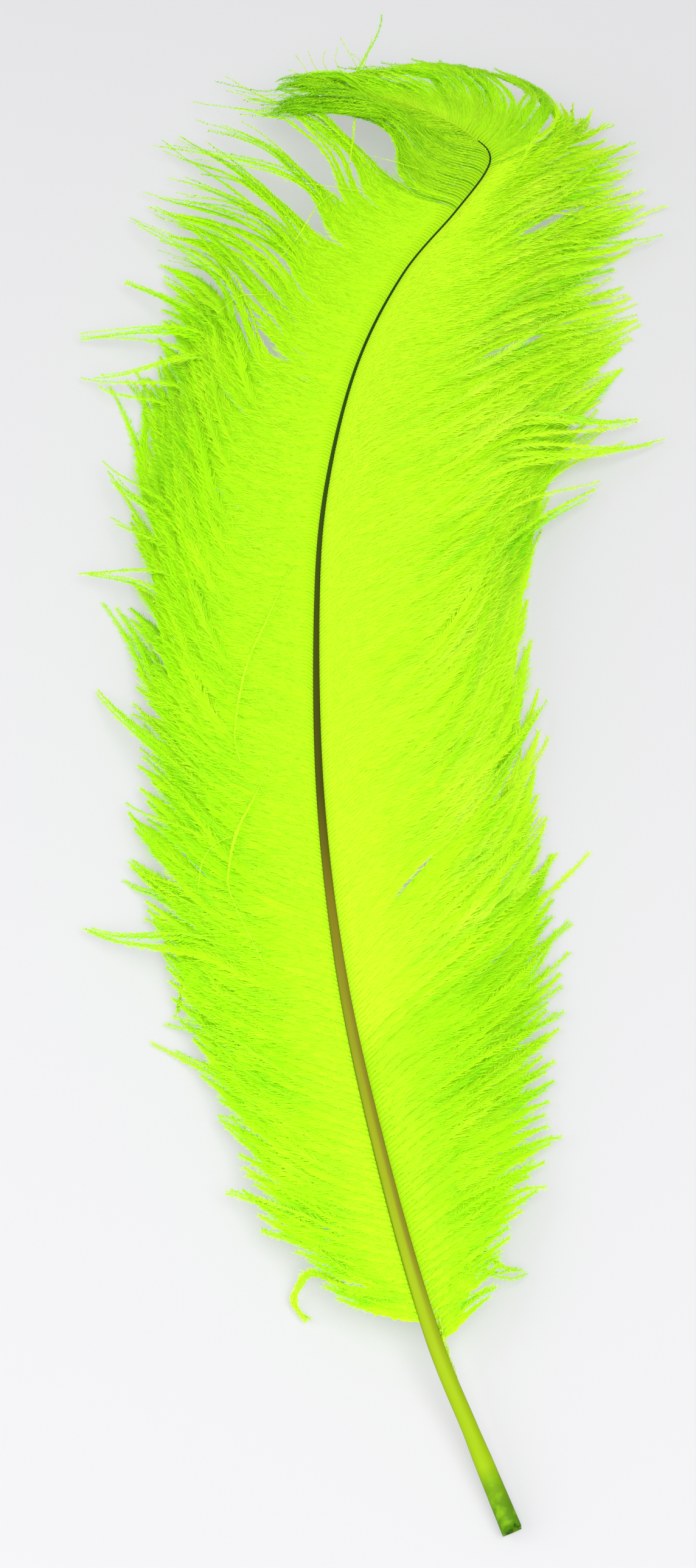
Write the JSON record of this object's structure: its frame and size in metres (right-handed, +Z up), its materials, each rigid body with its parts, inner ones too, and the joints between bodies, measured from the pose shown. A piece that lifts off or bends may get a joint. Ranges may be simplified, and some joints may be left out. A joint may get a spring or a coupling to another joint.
{
  "type": "ostrich feather",
  "caption": "Dyed lime green ostrich plume lying flat, with a bare cut quill, an arched shaft and two wide drooping vanes whose barbs hook over at the tip.",
  "frame": {"origin": "centre of the bounding box's bottom, on the surface the feather lies on", "axes": "+Y from the cut end of the quill to the hooked tip, +Z up from the surface, +X to the right when seen from above with the tip away from the viewer"},
  "size_m": [0.2254, 0.6088, 0.0378],
  "materials": {
    "barbs": "soft matt dyed keratin fibres",
    "shaft": "smooth satin dyed keratin, dark towards the tip"
  },
  "bodies": {
    "root": {"feather": "barbs"}
  },
  "joints": []
}
